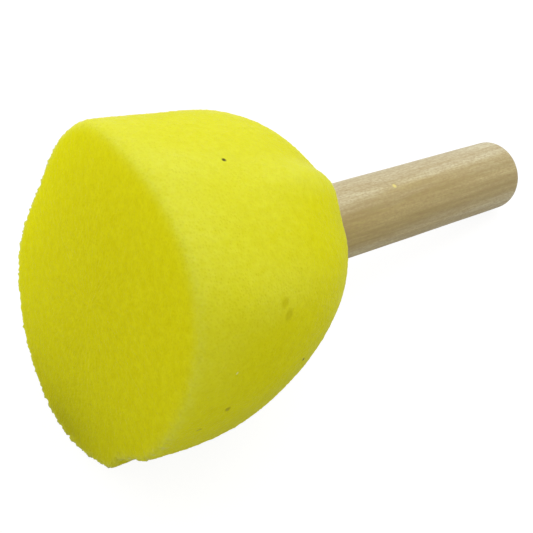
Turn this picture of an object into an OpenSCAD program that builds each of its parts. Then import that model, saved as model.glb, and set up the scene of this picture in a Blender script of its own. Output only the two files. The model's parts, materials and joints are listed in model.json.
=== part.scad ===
// Foam sponge brush: a round foam dabbing head glued onto the end of a wooden dowel.
// It lies on its side as it is put down: the head and the free end of the dowel touch z = 0,
// the dowel points along +X and slopes down, and the working face looks along -X and up.
// Each piece is first drawn upright, with the middle of the working face at the origin and
// the dowel along +Z.

/* [Foam head] */
// Diameter of the head where its side is straight
face_d = 60; // [50:1:70]
// How far the working face is cut out of square with the dowel, sideways
face_tilt = 11; // [0:1:15]
// Length of the foam from the middle of the working face to the neck
head_l = 50; // [44:1:56]
// Foam wall around the dowel at the neck
neck_wall = 0.6; // [0.4:0.1:2]
// How long the side stays straight behind the face before the dome turns in
side_power = 3.3; // [2.4:0.1:4]
// How roundly the dome closes at the back: lower is blunter
back_power = 0.82; // [0.5:0.02:1]

/* [Handle] */
// Diameter of the dowel
dowel_d = 15; // [12:0.5:17]
// Length of the dowel that can be gripped, from the neck to the free end
grip_l = 61; // [50:1:90]
// Length of the dowel inside the foam
insert_l = 30; // [20:1:32]
// Rounding of the free end
end_r = 2.7; // [1:0.1:5]
// How much narrower the dowel is at its inserted tip, on the radius
lead_in = 0.5; // [0.2:0.1:0.8]

/* [Glue] */
// Thickness of the glue film between the dowel and the foam
glue_t = 0.4; // [0.3:0.1:0.6]

/* [Rest] */
// How far the foam gives way where it lies on the table
rest_press = 0.3; // [0.2:0.1:0.5]

/* [Hidden] */
$fn = 96;
side_steps = 18;
arc_steps = 6;
most_tilt = 45;
bisections = 24;
face_r = face_d / 2;
dowel_r = dowel_d / 2;
tip_r = dowel_r - lead_in;
neck_r = dowel_r + glue_t + neck_wall;
total_l = head_l + grip_l;
tip_z = head_l - insert_l;

// How high the head has risen where its side has turned in to a radius, as a share of the
// height at which the dome would close to a point
function rise(r) = pow(1 - pow(r / face_r, 1 / back_power), 1 / side_power);

// Quarter circle of the given radius from one angle to the next, about a point [x, z]
function arc(centre, radius, from) = [
    for (i = [0:arc_steps])
        centre + radius * [cos(from + 90 * i / arc_steps), sin(from + 90 * i / arc_steps)]
];

// The dome's outside up to the neck, as [radius, height]
side = [
    for (i = [0:side_steps])
        let (r = face_r * cos(acos(neck_r / face_r) * i / side_steps))
        [r, head_l * rise(r) / rise(neck_r)]
];

// How far the head and the dowel's end reach below the middle of the face, at a tilt
function head_reach(tilt) = max([for (p = side) p.y * sin(tilt) + p.x * cos(tilt)]);
function end_reach(tilt) =
    (total_l - end_r) * sin(tilt) + (dowel_r - end_r) * cos(tilt) + end_r;

// The tilt at which the pressed head and the dowel's end reach equally low
function resting_tilt(low, high, left) =
    let (middle = (low + high) / 2)
    left == 0 ? middle
    : head_reach(middle) - rest_press > end_reach(middle)
        ? resting_tilt(middle, high, left - 1)
        : resting_tilt(low, middle, left - 1);

tilt = resting_tilt(0, most_tilt, bisections);
// Ends of the lying brush along X, from the middle of the working face
low_x = -face_r * norm([tan(face_tilt) * cos(tilt), sin(tilt)]);
high_x = (total_l - end_r) * cos(tilt) + (dowel_r - end_r) * sin(tilt) + end_r;

// Lays an upright piece on its side, centred on the origin and touching z = 0
module lying() {
    translate([-(low_x + high_x) / 2, 0, end_reach(tilt)])
        rotate([0, 90 + tilt, 0])
            children();
}

// Everything below the surface that the brush lies on
module table() {
    translate([-total_l, -face_d, -face_d])
        cube([2 * total_l, 2 * face_d, face_d]);
}

// Everything in front of the slanting working face
module cut_away() {
    rotate([face_tilt, 0, 0])
        translate([-face_d, -face_d, -face_d])
            cube([2 * face_d, 2 * face_d, face_d]);
}

// One piece of foam: flat face, straight side, back gathered in to the dowel, blind socket
module foam_head() {
    outline = concat(
        [[0, -face_r], [face_r, -face_r]],
        side,
        [[dowel_r + glue_t, head_l], [tip_r + glue_t, tip_z - glue_t], [0, tip_z - glue_t]]
    );
    color([0.89, 0.87, 0.17])
        difference() {
            lying()
                difference() {
                    rotate_extrude() polygon(outline);
                    cut_away();
                }
            table();
        }
}

// Cup of hardened glue that fills the gap between the dowel's inserted end and the socket
module glue_bond() {
    outline = [
        [0, tip_z - glue_t],
        [tip_r + glue_t, tip_z - glue_t],
        [dowel_r + glue_t, head_l],
        [dowel_r, head_l],
        [tip_r, tip_z],
        [0, tip_z]
    ];
    color([0.93, 0.90, 0.78])
        lying() rotate_extrude() polygon(outline);
}

// Dowel: a slight lead-in inside the foam, a plain grip, and a rounded free end
module handle() {
    outline = concat(
        [[0, tip_z], [tip_r, tip_z], [dowel_r, head_l]],
        arc([dowel_r - end_r, total_l - end_r], end_r, 0),
        [[0, total_l]]
    );
    color([0.80, 0.72, 0.55])
        lying() rotate_extrude() polygon(outline);
}

foam_head();
glue_bond();
handle();
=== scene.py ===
"""Foam sponge brush: the visible pieces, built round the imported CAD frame.

Lengths are in metres, and MM turns millimetres into them. A place on the brush is (up, side, along):
along runs down the dowel's axis from the middle of the working face, side is level and square to
it, and up is square to both. An angle round the brush is counted from up towards side.
"""
import json
import math

import bmesh
import bpy
import numpy as np
from mathutils import Matrix, Vector, noise


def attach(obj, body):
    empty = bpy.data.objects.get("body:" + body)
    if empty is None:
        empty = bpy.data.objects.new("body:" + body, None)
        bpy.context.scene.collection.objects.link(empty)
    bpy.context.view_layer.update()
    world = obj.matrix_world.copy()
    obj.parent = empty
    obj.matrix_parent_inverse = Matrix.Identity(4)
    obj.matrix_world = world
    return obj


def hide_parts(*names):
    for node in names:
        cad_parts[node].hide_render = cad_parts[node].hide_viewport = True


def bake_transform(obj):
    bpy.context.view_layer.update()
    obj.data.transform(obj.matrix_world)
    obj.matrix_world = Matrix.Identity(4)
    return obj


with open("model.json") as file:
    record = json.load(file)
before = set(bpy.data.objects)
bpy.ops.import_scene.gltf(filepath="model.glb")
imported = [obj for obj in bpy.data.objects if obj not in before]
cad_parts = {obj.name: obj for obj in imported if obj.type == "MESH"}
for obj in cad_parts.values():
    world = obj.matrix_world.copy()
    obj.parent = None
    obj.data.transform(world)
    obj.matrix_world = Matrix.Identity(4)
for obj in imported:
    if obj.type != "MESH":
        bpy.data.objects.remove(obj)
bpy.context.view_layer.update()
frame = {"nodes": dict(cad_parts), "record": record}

MM = 0.001

# ---------------------------------------------------------------- the frame

MOUNTS = {mount["name"]: mount for mount in frame["record"]["mounts"]}
FACE = np.array(MOUNTS["working_face"]["pos_m"])
FACE_OUT = np.array(MOUNTS["working_face"]["axis"])
GRIP = MOUNTS["handle"]
ALONG = np.array(GRIP["axis"])
SIDE = np.array((0.0, -1.0, 0.0))
UP = np.cross(SIDE, ALONG)


def cad_reach(node):
    """A CAD node's points as (distance along the dowel's axis, distance from it)."""
    points = np.array([vertex.co for vertex in frame["nodes"][node].data.vertices]) - FACE
    along = points @ ALONG
    return along, np.linalg.norm(points - np.outer(along, ALONG), axis=1)


foam_along, foam_out = cad_reach("foam_head")
glue_along, glue_out = cad_reach("glue_bond")
dowel_along, dowel_out = cad_reach("handle")
HEAD_R = foam_out.max()
NECK = foam_along.max()
GLUE_R = glue_out.max()
SOCKET_END = glue_along.min()
DOWEL_R = GRIP["dims"]["r_mm"] * MM
DOWEL_TIP = dowel_along.min()
DOWEL_END = dowel_along.max()
TIP_R = dowel_out[dowel_along < DOWEL_TIP + MM].max()
END_ROUND = DOWEL_END - (np.array(GRIP["pos_m"]) - FACE) @ ALONG - GRIP["dims"]["length_mm"] / 2 * MM
# How far along the face lies for each metre to the side: the face is cut out of square
FACE_SLOPE = -(FACE_OUT @ SIDE) / (FACE_OUT @ ALONG)


def place(local):
    """Points in the row frame, from an array of (up, side, along)."""
    return FACE + local @ np.array((UP, SIDE, ALONG))


# ---------------------------------------------------------------- meshes


def closed_mesh(name, rings):
    """A closed mesh named name. rings is (rings, points round, 3), in (up, side, along); the middles of
    the first and last ring close it. The mesh keeps each point's rest place for its material."""
    count, around = rings.shape[:2]
    ends = rings[[0, -1]].mean(axis=1)
    local = np.vstack([rings.reshape(-1, 3), ends])
    index = np.arange(count * around).reshape(count, around)
    after = np.roll(index, -1, axis=1)
    quads = np.stack([index[:-1], after[:-1], after[1:], index[1:]], axis=-1).reshape(-1, 4)
    start, end = count * around, count * around + 1
    fans = [(start, b, a) for a, b in zip(index[0], after[0])]
    fans += [(end, a, b) for a, b in zip(index[-1], after[-1])]
    mesh = bpy.data.meshes.new(name)
    mesh.from_pydata(place(local).tolist(), [], quads.tolist() + [tuple(map(int, fan)) for fan in fans])
    rest = mesh.attributes.new("rest", "FLOAT_VECTOR", "POINT")
    rest.data.foreach_set("vector", local.astype(np.float32).ravel())
    working = bmesh.new()
    working.from_mesh(mesh)
    bmesh.ops.recalc_face_normals(working, faces=working.faces)
    working.to_mesh(mesh)
    working.free()
    mesh.shade_smooth()
    piece = bpy.data.objects.new(name, mesh)
    bpy.context.scene.collection.objects.link(piece)
    return piece


def vectors(items, field):
    """One three-number field of many mesh items, as an array."""
    values = np.zeros(len(items) * 3)
    items.foreach_get(field, values)
    return values.reshape(-1, 3)


def push_out(mesh, heights):
    """Moves each point of a mesh along its normal."""
    moved = vectors(mesh.vertices, "co") + vectors(mesh.vertex_normals, "vector") * heights[:, None]
    mesh.vertices.foreach_set("co", moved.ravel())
    mesh.update()


def store(mesh, name, values):
    """Keeps one number for each point of a mesh, for its material to read."""
    mesh.attributes.new(name, "FLOAT", "POINT").data.foreach_set("value", values.astype(np.float32))


def even_spacing(track, count):
    """The same columns of points, respaced evenly. track is (points, columns, 3)."""
    steps = np.linalg.norm(np.diff(track, axis=0), axis=2)
    run = np.vstack([np.zeros(track.shape[1]), np.cumsum(steps, axis=0)])
    share = np.linspace(0, 1, count)
    columns = [
        [np.interp(share * run[-1, c], run[:, c], track[:, c, k]) for k in range(3)]
        for c in range(track.shape[1])
    ]
    return np.array(columns).transpose(2, 0, 1)


def round_angles(count):
    """That many angles, evenly spaced once round the brush."""
    return np.linspace(0, 2 * np.pi, count, endpoint=False)


def hoop(angle, out, along):
    """A ring of points so far out from the dowel's axis and so far along it."""
    return np.stack(np.broadcast_arrays(out * np.cos(angle), out * np.sin(angle), along), axis=-1)


def ease(value, start, end):
    """0 before start, 1 after end, and smooth between them."""
    share = np.clip((value - start) / (end - start), 0, 1)
    return share * share * (3 - 2 * share)


def turn_between(angle, middle):
    """Signed angle from middle, in degrees, both round the brush; middle is in degrees."""
    return (np.degrees(angle) - middle + 180) % 360 - 180


def voronoi_gap(points, size):
    """For each point, the distance to the middle of its foam cell, as a share of the cell size."""
    return np.array([noise.voronoi(point)[0][0] for point in points / size])


def lumps(points, size, octaves=2):
    """Smooth noise from about -1 to 1 at each point, with features of that size."""
    return np.array([noise.fractal(Vector(point), 1.0, 2.0, octaves) for point in points / size])


# ---------------------------------------------------------------- foam head

# Points round each ring of the foam, steps from the face's middle out to its rim, rings on the side,
# and rings down the socket
COLUMNS = 480
FACE_RINGS = 66
SIDE_RINGS = 132
SOCKET_RINGS = 7
# The dome is worked out in this many steps, and then respaced into the side's rings
DOME_STEPS = 6 * SIDE_RINGS
# The cut rim departs from a circle by lobes: how many round it, height in mm, angle of a top
RIM_LOBES = [(2, 3.32, 43), (3, 0.84, -33), (4, 0.91, -30), (5, 0.42, -25)]
# The rim's middle lies this far below the dowel's axis
HEAD_DROP = 1.6 * MM
# How far along the dome would close to a point, if it went on past the neck
DOME_L = 1.076 * NECK
# How long the side stays straight before the dome turns in, and how much that changes, as a share
# of it, towards up and towards side
SIDE_POWER = 3.08
POWER_UP = 0.19
POWER_SIDE = -0.19
# How roundly the dome closes at the back: lower is blunter
BACK_POWER = 0.89
# How far from the dowel's axis the foam's edge lies at the neck
NECK_R = GLUE_R + 0.6 * MM
# How far inside the neck the foam's edge has turned in to its socket
NECK_LIP = 0.5 * MM
# How far the middle of the cut face stands proud of its rim
CROWN = 1 * MM
# The cut rim is worn round on one side, about this angle, and still sharp and ragged on the other
WORN_SIDE = 18
# Passes of smoothing over the rim, where it is worn and where it is sharp
WORN_PASSES = 26
SHARP_PASSES = 7
# How far out the rim is drawn before it is smoothed, where it is worn and where it is sharp
WORN_LOSS = 0.25 * MM
SHARP_LOSS = 0.3 * MM

# The foam's relief: open cells, grit on them, broad swells, and crumbs along the sharp rim
CELL_SIZE = 0.62 * MM
FACE_CELL_DEPTH = 0.13 * MM
SIDE_CELL_DEPTH = 0.1 * MM
GRIT_SIZE = 0.5 * MM
GRIT_HEIGHT = 0.06 * MM
SWELL_SIZE = 14 * MM
SWELL_HEIGHT = 0.14 * MM
CRUMB_SIZE = 0.6 * MM
CRUMB_HEIGHT = 0.48 * MM
# What is left of the crumbs where the rim is worn round
CRUMBS_LEFT = 0.25
# How many rings to each side of the rim the crumbs, the painted edge highlight and the painted sheen by
# the worn rim reach
CRUMB_RINGS = 2.5
EDGE_HIGHLIGHT_RINGS = 2.8
SHEEN_RINGS = 16
# Half the number of rings over which the face's colour gives way to the side's, where the rim is
# sharp and where it is worn
SHARP_FADE = 3
WORN_FADE = 7
# How pale the foam is on its side everywhere, and the painted highlight added where it faces up and on a
# crest 1 mm high, and the painted sheen added next to the worn part of the rim
PALE_SIDE = 0.1
UPWARD_HIGHLIGHT = 0.5
CREST_HIGHLIGHT = 0.5
WORN_RIM_SHEEN = 0.4
# How strong the painted highlight along the cut edge is, where the rim is sharp and where it is worn
EDGE_HIGHLIGHT_SHARP = 0.65
EDGE_HIGHLIGHT_WORN = 0.55

# Soft ridges and hollows of the gathered foam: angle, width in degrees, height in mm, then the
# share of the dome's length where each starts, is highest and ends
FOLDS = [
    (19, 8, 0.7, -0.1, 0.08, 0.4),
    (28, 7, 1.4, 0.2, 0.55, 1.0),
    (12, 18, -0.85, 0.45, 0.7, 0.9),
    (47, 11, -0.9, 0.25, 0.65, 1.1),
    (60, 8, 0.9, 0.0, 0.15, 0.5),
    (78, 12, -0.5, 0.0, 0.2, 0.6),
    (156, 5, 0.45, -0.1, 0.0, 0.1),
    (147, 5, -1.2, -0.15, 0.05, 0.3),
    (137, 8, -1.5, -0.15, 0.1, 0.45),
    (84, 13, 0.1, 0.3, 0.72, 1.1),
    (118, 14, -0.6, 0.3, 0.75, 1.1),
    (146, 12, 0.6, 0.25, 0.7, 1.1),
    (178, 15, -0.6, 0.35, 0.75, 1.1),
    (207, 13, 0.7, 0.2, 0.65, 1.1),
    (236, 12, -0.6, 0.35, 0.75, 1.1),
    (262, 11, 0.6, 0.25, 0.7, 1.1),
    (290, 14, -0.7, 0.3, 0.72, 1.1),
    (318, 10, 0.55, 0.25, 0.68, 1.1),
    (337, 13, -0.42, 0.0, 0.3, 0.55),
    (343, 12, -0.4, 0.4, 0.75, 1.1),
]


def fold_height(angle, closing):
    """How far the folds lift the foam, at an angle and a share of the dome's length."""
    total = np.zeros(np.broadcast(angle, closing).shape)
    for middle, width, height, start, top, end in FOLDS:
        across = np.exp(-((turn_between(angle, middle) / width) ** 2))
        total += height * MM * across * ease(closing, start, top) * (1 - ease(closing, top, end))
    return total


def worn(angle):
    """1 where the rim is worn round and 0 where it is as it was cut."""
    return ease(np.cos(angle - np.radians(WORN_SIDE)), 0.1, 0.85)


def rim_swell(angle):
    """How far the cut rim stands outside a circle, before it is smoothed."""
    lobes = sum(height * np.cos(count * (angle - np.radians(top))) for count, height, top in RIM_LOBES)
    return lobes * MM + SHARP_LOSS + (WORN_LOSS - SHARP_LOSS) * worn(angle)


def side_power(angle):
    """SIDE_POWER at an angle: the dome turns in sooner on some sides than on others."""
    return SIDE_POWER * (1 + POWER_UP * np.cos(angle) + POWER_SIDE * np.sin(angle))


def dome(angle, closing):
    """Places on the foam behind the rim. closing runs from 0 at the rim to 1 where it would close."""
    share = (1 - closing ** side_power(angle)) ** BACK_POWER
    out = share * (HEAD_R + rim_swell(angle) * (1 - closing)) + fold_height(angle, closing)
    up = out * np.cos(angle) - HEAD_DROP * (1 - closing)
    # The side sets off square to the slanting face, and comes back to the dowel's axis
    lean = -FACE_SLOPE * closing * (1 - closing) * DOME_L
    side = out * np.sin(angle) + lean
    along = closing * DOME_L + (1 - closing) * FACE_SLOPE * out * np.sin(angle)
    return np.stack([up, side, along], axis=-1)


def neck_closing(angle):
    """The share of the dome's length at which the foam has come in to the neck."""
    return (1 - (NECK_R / HEAD_R) ** (1 / BACK_POWER)) ** (1 / side_power(angle))


def neck_line(angle):
    """How far along the foam's edge at the neck lies."""
    return dome(angle, neck_closing(angle))[:, 2]


def soften(rings, passes):
    """The rings, smoothed along each column by so many passes."""
    smooth = rings.copy()
    for _ in range(passes):
        smooth[1:-1] = (smooth[:-2] + 2 * smooth[1:-1] + smooth[2:]) / 4
    return smooth


def foam_outside(angle):
    """Rings out over the cut face and back over the dome to the neck, with the rim smoothed."""
    middle = np.array((-HEAD_DROP, 0, 0))
    share = np.linspace(0, 1, FACE_RINGS + 1)[1:-1, None, None]
    face = middle + (dome(angle, 0.0) - middle) * share - (0, 0, CROWN) * (1 - share**2)
    # The steps are closest at the rim
    steps = np.linspace(0, 1, DOME_STEPS)[:, None] ** 1.5
    side = even_spacing(dome(angle, neck_closing(angle) * steps), SIDE_RINGS)
    cut = np.concatenate([face, side])
    sharp = soften(cut, SHARP_PASSES)
    return sharp + (soften(cut, WORN_PASSES) - sharp) * worn(angle)[:, None]


def foam_socket(angle):
    """Rings down the blind socket that the glue fills, and in over its end."""
    brim = neck_line(angle) - NECK_LIP
    rings = []
    for step in np.linspace(0, 1, SOCKET_RINGS):
        out = GLUE_R + (TIP_R - DOWEL_R) * step
        rings.append(hoop(angle, out, brim + (SOCKET_END - brim) * step))
    rings.append(hoop(angle, 0.5 * GLUE_R, SOCKET_END))
    return np.array(rings)


def foam_relief(local, angle, behind_rim):
    """How far each point of the foam stands out. behind_rim counts the rings from the cut rim back,
    and is below 0 on the face."""
    cell_depth = np.where(behind_rim < 0, FACE_CELL_DEPTH, SIDE_CELL_DEPTH)
    cells = cell_depth * (voronoi_gap(local, CELL_SIZE) - 0.5) * 2
    grit = GRIT_HEIGHT * lumps(local, GRIT_SIZE, 1)
    swells = SWELL_HEIGHT * lumps(local, SWELL_SIZE)
    crumbly = np.exp(-((behind_rim / CRUMB_RINGS) ** 2)) * (1 - (1 - CRUMBS_LEFT) * worn(angle))
    crumbs = CRUMB_HEIGHT * crumbly * lumps(local, CRUMB_SIZE)
    return np.where(behind_rim < SIDE_RINGS, cells + grit + swells + crumbs, 0)


def rest_on_table(mesh):
    """Presses flat what would reach below the surface that the brush lies on."""
    points = vectors(mesh.vertices, "co")
    points[:, 2] = np.maximum(points[:, 2], 0)
    mesh.vertices.foreach_set("co", points.ravel())
    mesh.update()


def store_tones(mesh, local, angle, behind_rim):
    """Keeps what the material reads: cut is 1 on the cut face, and pale is 1 where the foam is palest.
    pale holds a slightly paler side tone and painted highlight and sheen.
    """
    softness = worn(angle)
    fade = SHARP_FADE + (WORN_FADE - SHARP_FADE) * softness
    cut = 1 - ease(behind_rim, -fade, fade)
    # Painted highlight: the foam is drawn paler the more it faces up, as light from above would make it
    # look
    upward = ease(vectors(mesh.vertex_normals, "vector")[:, 2], 0.4, 1.05)
    # Painted highlight on the ridges of the folds, and slightly less pale in their hollows
    crest = np.clip(fold_height(angle, np.clip(local[:, 2] / DOME_L, 0, 1)) / MM, -0.2, 1)
    # Painted sheen: the side is drawn paler next to the worn, rounded part of the rim
    rim_sheen = softness * np.exp(-((behind_rim / SHEEN_RINGS) ** 2))
    pale = (1 - cut) * (PALE_SIDE + UPWARD_HIGHLIGHT * upward + CREST_HIGHLIGHT * crest + WORN_RIM_SHEEN * rim_sheen)
    # Painted highlight: a pale band drawn along the cut edge
    edge_highlight = np.exp(-((behind_rim / EDGE_HIGHLIGHT_RINGS) ** 2))
    pale += (EDGE_HIGHLIGHT_SHARP + (EDGE_HIGHLIGHT_WORN - EDGE_HIGHLIGHT_SHARP) * softness) * edge_highlight
    store(mesh, "pale", np.clip(pale, 0, 1))
    store(mesh, "cut", cut)


def foam_head():
    """The foam: one closed mesh with open cells on its outside, pressed flat where it lies."""
    angle = round_angles(COLUMNS)
    piece = closed_mesh("foam_sponge", np.concatenate([foam_outside(angle), foam_socket(angle)]))
    mesh = piece.data
    local = vectors(mesh.attributes["rest"].data, "vector")
    index = np.arange(len(mesh.vertices))
    around = index % COLUMNS * 2 * np.pi / COLUMNS
    behind_rim = index // COLUMNS - (FACE_RINGS - 1)
    # The last point but one is the middle of the face
    behind_rim[-2] = 1 - FACE_RINGS
    push_out(mesh, foam_relief(local, around, behind_rim))
    rest_on_table(mesh)
    store_tones(mesh, local, around, behind_rim)
    return piece


# ---------------------------------------------------------------- glue

# Points round each ring of the glue, rings up each of its walls, and rings over its edge
GLUE_COLUMNS = 160
WALL_RINGS = 9
BEAD_RINGS = 8
# How far inside the neck the glue's edge begins to round over
BEAD_START = 1.2 * MM
# How far round its quarter turn the edge's first ring lies, in radians
BEAD_BEND = 0.2
# How far the glue's edge stands out of the neck, and how much that varies round it
BEAD_PROUD = 0.15 * MM
BEAD_WAVE = 0.2 * MM
# The glue's outside keeps this far off the foam, and its inside half as far off the dowel, so that
# no two surfaces coincide
GLUE_GAP = 0.01 * MM


def glue_cup():
    """The hardened glue: a cup round the inserted dowel, with a thin uneven edge at the neck."""
    angle = round_angles(GLUE_COLUMNS)
    film = GLUE_R - DOWEL_R
    narrowing = DOWEL_R - TIP_R
    brim = neck_line(angle)
    # The wave is read round a circle, so that its ends meet
    proud = BEAD_PROUD + BEAD_WAVE * lumps(hoop(angle, 2, 5), 1, 3)
    rings = [hoop(angle, 0.5 * TIP_R, SOCKET_END)]
    for share in np.linspace(0, 1, WALL_RINGS):
        out = TIP_R + film + narrowing * share - GLUE_GAP
        rings.append(hoop(angle, out, SOCKET_END + (brim - BEAD_START - SOCKET_END) * share))
    for bend in np.linspace(BEAD_BEND, math.pi / 2, BEAD_RINGS):
        out = DOWEL_R + GLUE_GAP + film * math.cos(bend)
        rings.append(hoop(angle, out, brim - BEAD_START + (BEAD_START + proud) * math.sin(bend)))
    for share in np.linspace(0, 1, WALL_RINGS):
        out = DOWEL_R - narrowing * share + 0.5 * GLUE_GAP
        rings.append(hoop(angle, out, brim + (DOWEL_TIP - brim) * share))
    rings.append(hoop(angle, 0.5 * TIP_R, DOWEL_TIP))
    return closed_mesh("glue_bead", np.array(rings))


# ---------------------------------------------------------------- handle

# Points round each ring of the dowel, steps along its straight length and over the rounding of its
# free end, and rings on its flat end
DOWEL_COLUMNS = 180
DOWEL_RINGS = 150
ROUND_RINGS = 16
CAP_RINGS = 11
# The bevel on the dowel's inserted tip
TIP_BEVEL = 0.2 * MM
# The raised grain, and how far the dowel is out of round: sizes across and along it in mm, and heights
GRAIN_SIZE = (0.45, 0.45, 14)
GRAIN_HEIGHT = 0.018 * MM
UNEVEN_SIZE = (6, 6, 14)
UNEVEN_HEIGHT = 0.04 * MM


def dowel_outline():
    """The dowel from its inserted tip to its free end, as (distance from the axis, distance along)."""
    straight_end = DOWEL_END - END_ROUND
    cap_r = DOWEL_R - END_ROUND
    outline = [(0.45 * TIP_R, DOWEL_TIP), (TIP_R - TIP_BEVEL, DOWEL_TIP), (TIP_R, DOWEL_TIP + TIP_BEVEL)]
    outline += [(DOWEL_R, along) for along in np.linspace(NECK, straight_end, DOWEL_RINGS + 1)]
    for bend in np.linspace(0, math.pi / 2, ROUND_RINGS + 1)[1:]:
        outline.append((cap_r + END_ROUND * math.cos(bend), straight_end + END_ROUND * math.sin(bend)))
    outline += [(out, DOWEL_END) for out in np.linspace(cap_r, 0, CAP_RINGS + 2)[1:-1]]
    return outline


def dowel():
    """The dowel: slightly out of round, with raised grain, and an end sanded round."""
    angle = round_angles(DOWEL_COLUMNS)
    piece = closed_mesh("wooden_dowel", np.array([hoop(angle, *ring) for ring in dowel_outline()]))
    local = vectors(piece.data.attributes["rest"].data, "vector")
    grain = lumps(local / GRAIN_SIZE, MM)
    uneven = lumps(local / UNEVEN_SIZE, MM)
    bare = ease(local[:, 2], NECK - MM, NECK + 2 * MM)
    push_out(piece.data, bare * (GRAIN_HEIGHT * grain + UNEVEN_HEIGHT * uneven))
    return piece


# ---------------------------------------------------------------- materials


class Paint:
    """A small helper that adds and joins the nodes of one material."""

    def __init__(self, name):
        self.material = bpy.data.materials.new(name)
        self.material.use_nodes = True
        self.tree = self.material.node_tree
        self.shader = self.tree.nodes["Principled BSDF"]

    def node(self, kind, settings=(), **inputs):
        """A new node. settings are its properties, and inputs its sockets by name, a value or a link."""
        made = self.tree.nodes.new("ShaderNode" + kind)
        for key, value in dict(settings).items():
            setattr(made, key, value)
        for key, value in inputs.items():
            self.put(made.inputs[key.replace("_", " ")], value)
        return made

    def put(self, socket, value):
        if isinstance(value, bpy.types.NodeSocket):
            self.tree.links.new(value, socket)
        else:
            socket.default_value = value

    def set(self, **inputs):
        for key, value in inputs.items():
            self.put(self.shader.inputs[key.replace("_", " ")], value)

    def attribute(self, name, output="Fac"):
        return self.node("Attribute", {"attribute_name": name}).outputs[output]

    def stretched(self, across, along):
        """The rest place, divided by a size across the brush and one along it, in metres."""
        scale = (1 / across, 1 / across, 1 / along)
        return self.node("Mapping", Vector=self.attribute("rest", "Vector"), Scale=scale).outputs[0]

    def noise(self, where, scale=1.0, detail=2.0, roughness=0.5):
        made = self.node("TexNoise", Vector=where, Scale=scale, Detail=detail, Roughness=roughness)
        return made.outputs[0]

    def cells(self, where, scale=1.0):
        return self.node("TexVoronoi", Vector=where, Scale=scale).outputs["Distance"]

    def band(self, value, low, high, out_low=0.0, out_high=1.0):
        """value, mapped from low..high to out_low..out_high and held there."""
        limits = {"From_Min": low, "From_Max": high, "To_Min": out_low, "To_Max": out_high}
        return self.node("MapRange", Value=value, **limits).outputs[0]

    def maths(self, kind, first, second):
        made = self.node("Math", {"operation": kind})
        self.put(made.inputs[0], first)
        self.put(made.inputs[1], second)
        return made.outputs[0]

    def mix(self, share, first, second):
        """The colour first where share is 0 and second where it is 1."""
        made = self.node("Mix", {"data_type": "RGBA"})
        self.put(made.inputs[0], share)
        # Of a mix node's sockets, 6 and 7 take its colours and output 2 gives the mixed one
        for socket, colour in ((made.inputs[6], first), (made.inputs[7], second)):
            self.put(socket, colour if isinstance(colour, bpy.types.NodeSocket) else (*colour, 1))
        return made.outputs[2]

    def mix_shaders(self, share, first, second):
        """The shader first where share is 0 and second where it is 1."""
        made = self.node("MixShader")
        for socket, value in zip(made.inputs, (share, first, second)):
            self.put(socket, value)
        return made.outputs[0]

    def speck(self, tone, spot, radius, colour):
        """The colour tone, with a small round speck of another colour at a rest place."""
        away = self.node("VectorMath", {"operation": "DISTANCE"})
        self.put(away.inputs[0], self.attribute("rest", "Vector"))
        away.inputs[1].default_value = spot
        return self.mix(self.band(away.outputs["Value"], 0.45 * radius, radius, 1.0, 0.0), tone, colour)

    def reach(self, direction):
        """How far a rest place lies along a direction, in that direction's own unit."""
        product = self.node("VectorMath", {"operation": "DOT_PRODUCT"})
        self.put(product.inputs[0], self.attribute("rest", "Vector"))
        product.inputs[1].default_value = direction
        return product.outputs["Value"]

    def bump(self, height, distance, strength):
        made = self.node("Bump", Height=height, Distance=distance, Strength=strength)
        self.put(self.shader.inputs["Normal"], made.outputs[0])


# Specks caught in the foam: angle, share of the dome's length, radius in mm, colour
SPECKS = [
    (18.5, 0.255, 0.5, (0.10, 0.09, 0.03)),
    (63.2, 0.268, 1.2, (0.66, 0.61, 0.012)),
    (67.2, 0.29, 1.3, (0.64, 0.59, 0.012)),
    (91.2, 0.43, 0.4, (0.10, 0.09, 0.03)),
    (95.3, 0.15, 0.65, (0.47, 0.42, 0.02)),
    (102.5, 0.084, 0.6, (0.55, 0.50, 0.02)),
    (80, 0.136, 0.3, (0.9, 0.88, 0.35)),
    (233, 0.33, 0.35, (0.2, 0.16, 0.04)),
    (301, 0.52, 0.3, (0.3, 0.24, 0.04)),
]

# Sizes of the foam's markings: pores, fine grain, clumps of cells and wide patches
PORE_SIZE = 0.5 * MM
FINE_SIZE = 0.22 * MM
CLUMP_SIZE = 1.5 * MM
PATCH_SIZE = 16 * MM


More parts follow.
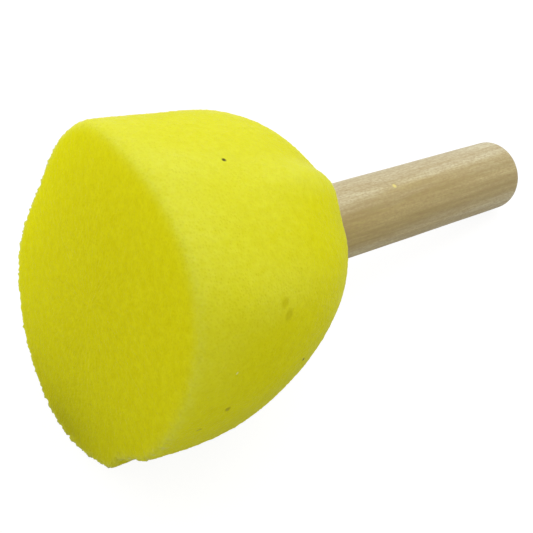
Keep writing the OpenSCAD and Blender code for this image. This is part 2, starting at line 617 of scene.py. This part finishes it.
def foam_material():
    """Mottled yellow foam with painted shade in its pores, painted highlight and sheen where it faces up,
    on fold crests and along the rim, and a deep soft glow.
    """
    paint = Paint("open_cell_foam")
    rest = paint.attribute("rest", "Vector")
    pores = paint.band(paint.cells(rest, 1 / PORE_SIZE), 0.15, 0.6)
    mottle = paint.band(paint.noise(rest, 1 / CLUMP_SIZE, 3.0, 0.6), 0.3, 0.7)
    patches = paint.band(paint.noise(rest, 1 / PATCH_SIZE), 0.3, 0.7, 0.0, 0.12)
    side = paint.mix(mottle, (0.74, 0.69, 0.006), (0.80, 0.76, 0.012))
    face = paint.mix(mottle, (0.73, 0.665, 0.004), (0.80, 0.745, 0.009))
    # The pale colour serves both a slightly paler side tone and the painted highlights and sheen
    pale_and_highlight = paint.mix(mottle, (0.79, 0.78, 0.050), (0.83, 0.83, 0.075))
    tone = paint.mix(paint.attribute("pale"), paint.mix(paint.attribute("cut"), side, face), pale_and_highlight)
    # Painted shade: the pores are drawn darker and deeper yellow, more on the cut face than on the side
    pore_shade = paint.band(paint.attribute("cut"), 0.0, 1.0, 0.13, 0.21)
    pore_shade = paint.maths("MULTIPLY", pore_shade, paint.band(pores, 0.0, 1.0, 1.0, 0.0))
    tone = paint.mix(pore_shade, tone, (0.60, 0.52, 0.003))
    tone = paint.mix(patches, tone, (0.86, 0.80, 0.02))
    for angle, closing, radius, colour in SPECKS:
        tone = paint.speck(tone, dome(np.radians(angle), np.array(closing)), radius * MM, colour)
    paint.set(Base_Color=tone, Roughness=0.95, Specular_IOR_Level=0.02)
    paint.set(Sheen_Weight=0.25, Sheen_Roughness=0.2, Sheen_Tint=(1, 1, 0.7, 1))
    paint.set(Subsurface_Weight=0.6, Subsurface_Radius=(80, 74, 3), Subsurface_Scale=MM)
    paint.bump(paint.maths("ADD", pores, paint.noise(rest, 1 / FINE_SIZE, 1.0)), 0.1 * MM, 0.6)
    return paint.material


# The dowel's darker streak: its middle's angle round the dowel, and its half width in degrees
STREAK_ANGLE = 66
STREAK_HALF = 38
# A resin fleck in the dowel: its angle, and how far it lies from the neck
FLECK_ANGLE = 23
FLECK_ALONG = 20 * MM


def wood_material():
    """Pale sanded wood: bands, a darker streak, fibres, tool chatter, short vessels and a fleck."""
    paint = Paint("plain_sanded_wood")
    bands = paint.noise(paint.stretched(1.6 * MM, 40 * MM), 1.0, 3.0, 0.6)
    fibres = paint.noise(paint.stretched(0.3 * MM, 5 * MM), 1.0, 3.0, 0.7)
    dashes = paint.cells(paint.stretched(0.4 * MM, 2.6 * MM))
    chatter = paint.noise(paint.stretched(0.4 * MM, 0.8 * MM))
    wander = paint.noise(paint.stretched(3 * MM, 30 * MM))
    streak = np.radians(STREAK_ANGLE)
    facing = paint.reach((math.cos(streak) / DOWEL_R, math.sin(streak) / DOWEL_R, 0))
    facing = paint.maths("ADD", facing, paint.band(wander, 0.0, 1.0, -0.35, 0.35))
    edge = math.cos(math.radians(STREAK_HALF))
    fade = paint.band(paint.reach((0, 0, 1)), NECK, DOWEL_END, 1.0, 0.75)
    stain = paint.maths("MULTIPLY", paint.band(facing, edge - 0.22, edge + 0.12), fade)
    banding = paint.band(bands, 0.35, 0.68)
    pale = paint.mix(banding, (0.84, 0.79, 0.54), (0.64, 0.55, 0.32))
    dark = paint.mix(banding, (0.60, 0.48, 0.18), (0.40, 0.30, 0.085))
    tone = paint.mix(stain, pale, dark)
    tone = paint.mix(paint.band(fibres, 0.36, 0.66, 0.0, 0.5), tone, (0.44, 0.30, 0.12))
    tone = paint.mix(paint.band(chatter, 0.42, 0.62, 0.0, 0.38), tone, (0.42, 0.28, 0.12))
    broken = paint.band(dashes, 0.05, 0.3, 0.35, 0.0)
    tone = paint.mix(broken, tone, (0.34, 0.20, 0.07))
    fleck = np.radians(FLECK_ANGLE)
    spot = (DOWEL_R * math.cos(fleck), DOWEL_R * math.sin(fleck), NECK + FLECK_ALONG)
    tone = paint.speck(tone, spot, 0.6 * MM, (0.86, 0.74, 0.22))
    paint.set(Base_Color=tone, Roughness=0.45, Specular_IOR_Level=0.45)
    paint.bump(paint.maths("SUBTRACT", fibres, broken), 0.06 * MM, 0.5)
    return paint.material


def glue_material():
    """Cloudy, slightly uneven hot-melt glue."""
    paint = Paint("hot_melt_glue")
    rest = paint.attribute("rest", "Vector")
    cloud = paint.noise(rest, 1 / (2.5 * MM), 3.0)
    paint.set(Base_Color=paint.mix(cloud, (0.80, 0.74, 0.50), (0.90, 0.87, 0.72)))
    paint.set(Roughness=paint.band(cloud, 0.3, 0.7, 0.28, 0.45), Subsurface_Weight=0.4)
    paint.set(Subsurface_Radius=(2.0, 1.6, 1.0), Subsurface_Scale=MM)
    paint.bump(paint.noise(rest, 1 / (0.8 * MM)), 0.08 * MM, 0.5)
    return paint.material


# ---------------------------------------------------------------- the brush

foam = foam_head()
foam.data.materials.append(foam_material())
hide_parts("foam_head")
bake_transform(foam)

glue = glue_cup()
glue.data.materials.append(glue_material())
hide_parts("glue_bond")
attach(glue, "stick")

stick = dowel()
stick.data.materials.append(wood_material())
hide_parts("handle")
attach(stick, "stick")

# ---------------------------------------------------------------- floor, light and camera

scene = bpy.context.scene
FLOOR_HALF = 3.0
# How bright the floor glows to the camera, how much of what the camera sees is that glow, and how
# much light the floor sends back up at the brush
FLOOR_GLOW = 1.12
GLOW_SHARE = 0.82
FLOOR_BOUNCE = 0.6
# Strength of the white light that comes from all round
SKY_STRENGTH = 0.58


def stage_floor():
    """A white floor that shows only a faint shadow and sends little light back up at the brush."""
    corners = [(x * FLOOR_HALF, y * FLOOR_HALF, 0) for x, y in ((-1, -1), (1, -1), (1, 1), (-1, 1))]
    mesh = bpy.data.meshes.new("floor")
    mesh.from_pydata(corners, [], [(0, 1, 2, 3)])
    floor = bpy.data.objects.new("floor", mesh)
    scene.collection.objects.link(floor)
    paint = Paint("pale_floor")
    paint.set(Base_Color=(0.93, 0.93, 0.93, 1), Roughness=0.9, Specular_IOR_Level=0.1)
    glow = paint.node("Emission", Color=(1, 1, 1, 1), Strength=FLOOR_GLOW)
    seen = paint.mix_shaders(GLOW_SHARE, paint.shader.outputs[0], glow.outputs[0])
    bounce = paint.node("BsdfDiffuse", Color=(FLOOR_BOUNCE, FLOOR_BOUNCE, FLOOR_BOUNCE, 1))
    to_camera = paint.node("LightPath").outputs["Is Camera Ray"]
    surface = paint.mix_shaders(to_camera, bounce.outputs[0], seen)
    paint.put(paint.tree.nodes["Material Output"].inputs["Surface"], surface)
    mesh.materials.append(paint.material)


def area_light(name, direction, distance, size, power):
    """A square soft light that looks at the head from a direction."""
    data = bpy.data.lights.new(name, "AREA")
    data.size = size
    data.energy = power
    light = bpy.data.objects.new(name, data)
    aim = Vector(direction).normalized()
    light.location = Vector(place(np.array((0, 0, 0.5 * NECK)))) + aim * distance
    light.rotation_euler = aim.to_track_quat("Z", "Y").to_euler()
    scene.collection.objects.link(light)


def studio():
    """Even white light from all round, and two soft lights."""
    world = bpy.data.worlds.new("studio")
    world.use_nodes = True
    sky = world.node_tree.nodes["Background"]
    sky.inputs["Color"].default_value = (1, 1, 1, 1)
    sky.inputs["Strength"].default_value = SKY_STRENGTH
    scene.world = world
    area_light("overhead", direction=(0.7, -0.1, 1), distance=0.4, size=0.28, power=0.67)
    area_light("key", direction=(-1, 1.6, 0.9), distance=0.35, size=0.3, power=0.33)
    scene.view_settings.view_transform = "Standard"


# The camera looks down along this azimuth and elevation, in degrees; the face's middle lies this
# far in front of it, to its left and below its line of sight
VIEW_AZIMUTH = 47.5
VIEW_ELEVATION = 39.19
FACE_AHEAD = 187.7 * MM
FACE_LEFT = 27.96 * MM
FACE_BELOW = 4.81 * MM
# Focal length in millimetres
LENS = 77.87


def camera():
    """The camera, at the photograph's viewing angle."""
    azimuth, elevation = math.radians(VIEW_AZIMUTH), math.radians(VIEW_ELEVATION)
    level = math.cos(elevation)
    ahead = Vector((level * math.cos(azimuth), level * math.sin(azimuth), -math.sin(elevation)))
    right = ahead.cross(Vector((0, 0, 1))).normalized()
    above = right.cross(ahead)
    eye = Vector(FACE) - ahead * FACE_AHEAD + right * FACE_LEFT + above * FACE_BELOW
    data = bpy.data.cameras.new("camera")
    data.lens = LENS
    data.clip_start = 10 * MM
    made = bpy.data.objects.new("camera", data)
    made.matrix_world = Matrix.Translation(eye) @ Matrix((right, above, -ahead)).transposed().to_4x4()
    scene.collection.objects.link(made)
    scene.camera = made


stage_floor()
studio()
camera()
